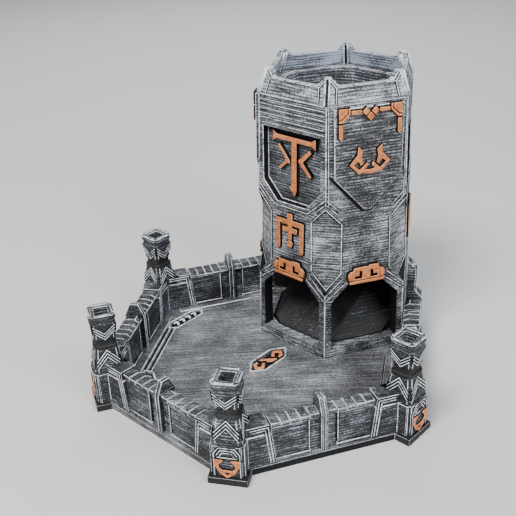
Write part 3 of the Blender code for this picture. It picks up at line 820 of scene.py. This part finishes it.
# ---- Turret runes ----
# A barbed ring, open at the top, low on the outer face of each turret.  It is plastic relief, printed
# with the turret and painted copper by hand.
turret_sign = [
    [(-7.2, 11.4), (-1.8, 11.1), (-2.5, 9.5), (-4.0, 8.7), (-4.2, 6.6), (-2.7, 4.9), (2.7, 4.9), (4.2, 6.6),
     (4.0, 8.7), (2.5, 9.5), (1.8, 11.1), (7.2, 11.4), (6.0, 9.6), (6.9, 7.9), (5.4, 5.6), (4.1, 2.7),
     (2.5, 1.6), (0.0, -0.2), (-2.5, 1.6), (-4.1, 2.7), (-5.4, 5.6), (-6.9, 7.9), (-6.0, 9.6)],
]
turret_hole = [(-1.7, 3.4), (1.7, 3.4), (0.0, 1.5)]
barbs = sign("turret_sign", turret_sign, 0.1, 1.0, out_place, [turret_hole])
set_round(barbs, "turret_rune", "_sign")


# ---- Arched storey ----
# The lower half of the tower, a shell of printed plastic with an arch in each of its three front sides and
# a flat pointed facet on every corner.  Raised hoods run from the arches down to the corners, where fine
# courses mark the foot.  It is brushed hardest across its plain middle.
STOREY_EDGE = 0.30
storey_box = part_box("arched_storey")
crown_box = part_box("crown")
tower_centre = Vector(((storey_box[0].x + storey_box[1].x) / 2, (storey_box[0].y + storey_box[1].y) / 2, 0.0))
FOOT_Z = storey_box[0].z
FOOT_SIDE = (storey_box[1].y - storey_box[0].y) / 2
SHOULDER_Z = crown_box[0].z
SHOULDER_SIDE = (crown_box[1].y - crown_box[0].y) / 2
LEAN = atan2(FOOT_SIDE - SHOULDER_SIDE, SHOULDER_Z - FOOT_Z)
foot_corner = FOOT_SIDE * 2 / sqrt(3)
corner_lean = atan2((FOOT_SIDE - SHOULDER_SIDE) * 2 / sqrt(3), SHOULDER_Z - FOOT_Z)
FRONT_FACES = (210, 270, 330)
REAR_FACES = (30, 90, 150)
CORNER_ANGLE = 33.0  # the least turn between two faces that gets an eased edge
CUT_DEPTHS = (1.0, 8.0)  # how deep behind a side the walls of its arch or pocket lie
CUT_HALF = 23.0
SILL_TOP = 20.0
LEDGES = (38.0, 62.0)  # heights of the ledges at the foot of the facets
SEAM = (85.0, 105.0)  # heights between which the storey's top rim lies
# The hoods' two lines on either side of an arch, and one that rises to the seam.
HOODS = (((11.6, 49.4), (25.2, 38.9)), ((13.8, 52.4), (25.0, 42.6)), ((15.5, 87.5), (24.7, 97.3)))
TICK = (22.6, 25.0)  # ends of a fine course at the foot of a corner
TICK_FOOT = 6.4
TICK_PITCH = 2.2
FOOT_LINE = ((-25.0, 3.4), (25.0, 3.4))
FACET = ((8.7, 87.0), (8.7, 55.7), (0.0, 43.8), (-8.7, 55.7), (-8.7, 87.0))
FACET_BEHIND = 5.2  # corner of the shaft to the facet cut across it
CORNER_CUT = 0.7  # corner of the shaft to the narrow flat that eases it
STOREY_BEAD = ((0.0, 0.3), (0.0, 42.4))


def behind(places):
    """Whether a face is a wall of an arch or pocket cut into one of these sides."""
    inward = [place.inverted() for place in places]

    def test(face):
        for turn in inward:
            middle = turn @ face.center
            if -CUT_DEPTHS[1] * MM < middle.z < -CUT_DEPTHS[0] * MM and abs(middle.x) < CUT_HALF * MM:
                if abs((turn.to_3x3() @ face.normal).z) < 0.7:
                    return True
        return False
    return test


def bead(axis, line):
    """A thin bright line up a corner of the tower."""
    place = side_place(tower_centre, axis, foot_corner - CORNER_CUT * MM, FOOT_Z, corner_lean)
    return plate("bead", [ribbon(line, 0.6)], ROOT, 0.40, place, LINE_EDGE, (edge_paint, edge_paint))


def dragged_middle(paint):
    """The brush was dragged hardest over the plain middle of the tower."""
    height = paint.node("SeparateXYZ", (), {0: paint.place}, output=2)
    rising = paint.step(height, FOOT_Z + 50.0 * MM, FOOT_Z + 70.0 * MM)
    falling = paint.step(height, FOOT_Z + 76.0 * MM, FOOT_Z + 92.0 * MM)
    return (rising - falling) * 0.20


tower_paint = brushed_stone("tower_paint", 0.02, more=dragged_middle)
shade_paint = brushed_stone("shade_paint", -0.34)
crown_paint = brushed_stone("crown_paint", 0.16, (0.96, 1.0, 1.06))
tower_faces = {}
for direction in FRONT_FACES + REAR_FACES:
    tower_faces[direction] = side_place(tower_centre, direction, FOOT_SIDE, FOOT_Z, LEAN)
storey = worked_copy("arched_storey", tower_paint, edge_paint)
soften(storey, STOREY_EDGE, CORNER_ANGLE)
in_arch = behind([tower_faces[direction] for direction in FRONT_FACES])


def in_hollow(face):
    """Whether a face lies in an arch, but isn't its sill, or is a ledge at the foot of a facet."""
    sill = face.normal.z > 0.7 and face.center.z < SILL_TOP * MM
    ledge = face.normal.z > 0.3 and LEDGES[0] * MM < face.center.z < LEDGES[1] * MM
    return (in_arch(face) and not sill) or ledge


def on_seam(face):
    """Whether a face is part of the storey's top rim."""
    return face.material_index == 0 and face.normal.z > 0.15 and SEAM[0] * MM < face.center.z < SEAM[1] * MM


# Arch walls and facet ledges are near black: undercoat, with painted shade inside the arches.
repaint(storey, in_hollow, undercoat_and_shade_paint)
# The storey's top rim is painted darker: painted shade on the slopes over the facets.
repaint(storey, on_seam, shade_paint)
trim = []
for place in tower_faces.values():
    trim += raised_lines(mirrored(HOODS), 0.5, place)
    ticks = [[(x, TICK_FOOT + TICK_PITCH * k) for x in TICK] for k in range(14)]
    strips = [ribbon(line, 0.35) for line in mirrored(ticks)] + [ribbon(FOOT_LINE, 0.4)]
    trim.append(plate("courses", strips, ROOT, 0.18, place, 0.08, (crown_paint, crown_paint)))
for axis in range(0, 360, 60):
    place = side_place(tower_centre, axis, foot_corner - FACET_BEHIND * MM, FOOT_Z, corner_lean)
    trim += raised_lines([FACET], 0.55, place, 0.40, 0.4)
    trim.append(bead(axis, STOREY_BEAD))
join(storey, *trim)
hand_over(storey, "arched_storey", "tower")


# ---- Upper shaft ----
# The upper half of the tower, a second shell of printed plastic on the first.  Its sides are sunk into a
# pocket and faced with a shield by turns.  Above each pocket runs a band of fine courses, and chevrons
# stand over the facets on the corners.
SUNK_FACES = (270, 30, 150)
POCKET_DEEP = 4.5
POCKET_BACK_HALF = 15.0
POCKET_SHADE = ((-20.9, 134.3), (20.9, 134.3), (20.9, 137.6), (-20.9, 137.6))
POCKET_RIM = ((-24.3, 102.4), (-12.2, 91.6), (12.2, 91.6), (24.3, 102.4))
COURSES_AT = (139.6, 142.4, 144.9, 147.7, 150.2, 152.8)
COURSE_END = 23.2
CHEVRONS = (((24.0, 99.6), (17.6, 93.4)), ((23.9, 102.4), (16.6, 95.3)))
SHIELD_SHADOW = ((-22.4, 116.2), (-2.6, 93.6), (2.6, 93.6), (22.4, 116.2))
EDGE_LINE = ((22.9, 98.6), (22.9, 154.0))
SHAFT_BEAD = ((0.0, 98.4), (0.0, 155.2))
pocket_paint = brushed_stone("pocket_paint", -0.10, (0.96, 1.0, 1.07), contrast=0.75)
shaft = worked_copy("upper_shaft", tower_paint, edge_paint)
soften(shaft, STOREY_EDGE, CORNER_ANGLE)
pocket_places = [tower_faces[direction] for direction in SUNK_FACES]
pocket_backs = [place.inverted() for place in pocket_places]


def on_pocket_back(face):
    """Whether a face is the flat back of a pocket."""
    for back in pocket_backs:
        middle = back @ face.center
        if abs(middle.z + POCKET_DEEP * MM) < 1.0 * MM and abs(middle.x) < POCKET_BACK_HALF * MM:
            if (back.to_3x3() @ face.normal).z > 0.9:
                return True
    return False


# A pocket's side walls are near black: painted shade inside the pocket, over undercoat.
repaint(shaft, behind(pocket_places), undercoat_and_shade_paint)
repaint(shaft, on_pocket_back, pocket_paint)
trim = []
for direction, place in tower_faces.items():
    trim += raised_lines(mirrored(CHEVRONS), 0.5, place)
    if direction in SUNK_FACES:
        courses = [[(-COURSE_END, up), (COURSE_END, up)] for up in COURSES_AT]
        trim += raised_lines(courses, 0.45, place, 0.35, 0.3)
        trim += raised_lines([POCKET_RIM], 0.5, place)
        # A near-black sheet under the pocket's top edge: painted shadow cast by the overhang.
        shade = plate("shade", [POCKET_SHADE], -POCKET_DEEP - 0.5, -POCKET_DEEP, place, 0.0, (undercoat_and_shade_paint,))
        trim.append(shade)
    else:
        # A dark strip round the shield's pointed foot: painted shadow cast by the shield.
        trim.append(plate("step", [ribbon(SHIELD_SHADOW, 1.6)], ROOT, 0.10, place, 0.0, (undercoat_and_shade_paint,)))
        trim += raised_lines(mirrored([EDGE_LINE]), 0.4, place, 0.35, 0.3)
for axis in range(0, 360, 60):
    trim.append(bead(axis, SHAFT_BEAD))
join(shaft, *trim)
hand_over(shaft, "upper_shaft", "tower")


# ---- Crown ----
# The leaning parapet on the shoulder: six panels between corner posts, printed in plastic as one ring.
# A post is two thin fins with a gap of painted shade between, outside and inside, and a bent line runs up
# each end of a panel beside it.  The inner side is lighter: painted light where it faces the lamps.
PARAPET_HIGH = 14.2
PARAPET_IN = 5.1  # how far a post leans in over that height
PANEL_LEAN = atan2(PARAPET_IN * sqrt(3) / 2, PARAPET_HIGH)
POST_LEAN = atan2(PARAPET_IN, PARAPET_HIGH)
BENT_LINE = ((18.4, 0.8), (17.2, 8.6), (20.3, 13.2))
PANEL_COURSE = ((-17.0, 9.0), (17.0, 9.0))
FINS_AT = (-1.15, 1.15)
FIN_WIDE = 0.75
FIN_FOOT = 0.2
FIN_TOP = 14.4
OUTER_FINS = (-1.6, 0.35)  # depths of a fin's two faces off the post's outer edge
INNER_FINS = (-5.6, -3.2)
POST_GAP_SHADE = ((0.0, FIN_FOOT), (0.0, PARAPET_HIGH))


def faces_inwards(face):
    """Whether a flat face of the crown looks at the middle of the tower."""
    return face.material_index == 0 and face.normal.xy.dot(face.center.xy - tower_centre.xy) < -10.0 * MM


lit_inner_paint = brushed_stone("lit_inner_paint", 0.42, (0.92, 1.0, 1.10))
crown = worked_copy("crown", crown_paint, edge_paint)
soften(crown, 0.28)
# The crown's inner faces take a lighter, bluer finish: painted light.
repaint(crown, faces_inwards, lit_inner_paint)
trim = []
for direction in tower_faces:
    place = side_place(tower_centre, direction, SHOULDER_SIDE, SHOULDER_Z, PANEL_LEAN)
    trim += raised_lines(mirrored([BENT_LINE]), 0.5, place, 0.40)
    trim += raised_lines([PANEL_COURSE], 0.4, place, 0.30, 0.3)
for axis in range(0, 360, 60):
    place = side_place(tower_centre, axis, SHOULDER_SIDE * 2 / sqrt(3), SHOULDER_Z, POST_LEAN)
    fins = [ribbon([(x, FIN_FOOT), (x, FIN_TOP)], FIN_WIDE) for x in FINS_AT]
    for low, high in (OUTER_FINS, INNER_FINS):
        trim.append(plate("fins", fins, low, high, place, 0.15, (edge_paint, edge_paint)))
    # A dark sheet in the gap between a post's fins: painted shade.
    trim.append(plate("fin_gap", [ribbon(POST_GAP_SHADE, 1.2)], -4.6, -0.6, place, 0.0, (undercoat_and_shade_paint,)))
join(crown, *trim)
hand_over(crown, "crown", "tower")


# ---- Inside of the tower ----
# A funnel under the crown, two sloping baffles that turn the dice over, and the ramp that lets them out
# through the three arches.  They are plastic, printed inside the tower, and painted darker than the outside.
INNER_EDGE = 0.30
inner_paint = brushed_stone("inner_paint", -0.42, (0.92, 0.96, 1.04), contrast=0.8)
funnel_paint = brushed_stone("funnel_paint", -0.06, (0.93, 1.0, 1.08))
for node in ("hopper", "baffle_upper", "baffle_lower", "exit_ramp"):
    finishes = (funnel_paint, crown_paint) if node == "hopper" else (inner_paint, inner_paint)
    piece = worked_copy(node, *finishes)
    soften(piece, INNER_EDGE)
    hand_over(piece, node, "tower")


# ---- Shields ----
# A flat shield with a pointed foot stands proud of every second side of the upper shaft.
# It is plastic, printed with the shaft and brushed like it, and its edges are well worn.
SHIELD_FACES = (330, 90, 210)
SHIELD_EDGE = 0.42
for n, direction in enumerate(SHIELD_FACES, 1):
    node = f"shield_{n}"
    shield = worked_copy(node, tower_paint, edge_paint)
    soften(shield, SHIELD_EDGE)
    hand_over(shield, node, "tower")


# ---- Shield crests and shield runes ----
# Relief of printed plastic painted copper by hand: a bracketed bar along the shield's head with drops at
# its ends, and a horned sign in the middle.
ON_SHIELD = (2.5, 4.1)  # heights of the relief's foot and face off the tower's side
crest = [
    [(-5.3, 152.9), (-11.2, 152.9), (-11.2, 150.8), (-5.3, 150.8)],
    [(5.3, 152.9), (11.2, 152.9), (11.2, 150.8), (5.3, 150.8)],
    [(0.0, 146.4), (2.2, 148.8), (0.0, 151.2), (-2.2, 148.8)],
    [(2.7, 149.3), (4.9, 151.7), (2.7, 154.1), (0.5, 151.7)],
    [(-2.7, 149.3), (-0.5, 151.7), (-2.7, 154.1), (-4.9, 151.7)],
]
bracket = [(13.4, 154.4), (18.4, 154.4), (18.4, 148.6), (16.9, 148.6), (13.4, 151.9)]
band = [(11.9, 154.4), (12.8, 154.4), (12.8, 151.6), (16.7, 148.0), (18.4, 148.0), (18.4, 146.8),
        (16.0, 146.8), (11.9, 151.2)]
drop = [(16.1, 145.8), (18.3, 145.8), (18.3, 138.4), (17.2, 137.2), (16.1, 138.4)]
shield_sign = [
    [(-6.9, 132.6), (-4.3, 129.9), (-4.9, 126.4), (-3.9, 122.5), (-5.6, 121.7), (-6.2, 123.2), (-7.3, 124.3),
     (-9.5, 122.6), (-6.7, 119.6), (-5.5, 119.6), (-1.7, 123.3), (-0.9, 121.8), (-3.2, 119.4), (0.0, 119.0),
     (3.2, 119.4), (0.9, 121.8), (1.7, 123.3), (5.5, 119.6), (6.7, 119.6), (9.5, 122.6), (7.3, 124.3),
     (6.2, 123.2), (5.6, 121.7), (3.9, 122.5), (4.9, 126.4), (4.3, 129.9), (6.9, 132.6), (7.4, 128.0),
     (12.1, 122.8), (6.9, 117.2), (4.0, 117.4), (2.0, 116.8), (0.0, 116.4), (-2.0, 116.8), (-4.0, 117.4),
     (-6.9, 117.2), (-12.1, 122.8), (-7.4, 128.0)],
]
crest += mirrored([bracket, band, drop])
for n, direction in enumerate(SHIELD_FACES, 1):
    for kind, outlines in (("crest", crest), ("rune", shield_sign)):
        node = f"shield_{kind}_{n}"
        piece = sign(node + "_painted", outlines, *ON_SHIELD, tower_faces[direction])
        hand_over(piece, node, "tower")


# ---- Pocket runes and gate runes ----
# A tall sign stands on the back of each pocket, and a gate-shaped one on the wall below it.  Both are
# plastic relief, printed with the tower and painted copper by hand.
IN_POCKET = (-4.4, -2.2)  # heights of the relief's foot and face off the tower's side
ON_WALL = (0.1, 1.6)
pocket_sign = [
    [(-15.2, 135.4), (-12.6, 133.4), (12.6, 133.4), (15.2, 135.4), (15.6, 129.0), (12.9, 130.7), (1.9, 130.7),
     (1.9, 102.0), (0.8, 98.2), (-3.5, 103.4), (-1.8, 104.6), (-1.8, 130.7), (-12.9, 130.7), (-15.6, 129.0)],
    [(-12.0, 126.9), (-10.6, 128.1), (-3.0, 119.3), (-3.0, 117.6), (-5.2, 117.4), (-10.2, 112.6),
     (-11.4, 113.9), (-6.2, 118.8), (-6.2, 120.0)],
    [(11.2, 128.0), (12.5, 126.7), (6.2, 120.2), (12.7, 113.0), (11.3, 111.7), (3.3, 119.6), (3.3, 120.9)],
]
gate_sign = [
    [(-10.2, 84.7), (-1.9, 84.7), (-1.9, 88.7), (1.9, 88.7), (1.9, 84.7), (10.2, 84.7), (10.2, 66.0),
     (8.8, 64.2), (7.3, 66.0), (7.3, 81.7), (1.5, 81.7), (1.5, 79.9), (5.4, 79.9), (5.4, 76.9), (1.5, 76.9),
     (1.5, 72.3), (-1.5, 72.3), (-1.5, 76.9), (-5.4, 76.9), (-5.4, 79.9), (-1.5, 79.9), (-1.5, 81.7),
     (-7.3, 81.7), (-7.3, 66.0), (-8.8, 64.2), (-10.2, 66.0)],
    [(0.0, 71.9), (2.2, 70.6), (1.5, 67.2), (-1.5, 67.2), (-2.2, 70.6)],
]
for n, direction in enumerate(SUNK_FACES, 1):
    for kind, outlines, heights in (("pocket", pocket_sign, IN_POCKET), ("gate", gate_sign, ON_WALL)):
        node = f"{kind}_rune_{n}"
        piece = sign(node + "_painted", outlines, *heights, tower_faces[direction])
        hand_over(piece, node, "tower")


# ---- Keystones ----
# A block with stepped ends and two hooked slots over each arch, on a thicker bar and between two thicker
# end caps.  It is plastic, printed with the storey and painted copper by hand.
keystone = [
    [(-10.4, 50.3), (10.4, 50.3), (11.5, 51.4), (11.5, 54.9), (9.9, 56.4), (8.3, 56.4), (7.6, 59.2),
     (2.2, 59.2), (1.6, 58.5), (-7.6, 58.5), (-8.3, 56.4), (-9.9, 56.4), (-11.5, 54.9), (-11.5, 51.4)],
]
slots = mirrored([[(7.3, 51.3), (2.6, 51.3), (2.6, 56.2), (4.3, 56.2), (4.3, 53.1), (7.3, 53.1)]])
caps = [[(-10.9, 48.5), (10.9, 48.5), (10.9, 50.2), (-10.9, 50.2)]]
caps += mirrored([[(8.8, 51.0), (11.3, 51.7), (11.3, 54.6), (9.7, 56.1), (8.8, 56.0)]])
for n, direction in enumerate(FRONT_FACES, 1):
    piece = sign(f"keystone_{n}_painted", keystone, 0.1, 2.2, tower_faces[direction], slots)
    piece = join(piece, plate("caps", caps, 0.1, 2.9, tower_faces[direction], SIGN_EDGE, copper_finishes))
    hand_over(piece, f"keystone_{n}", "tower")
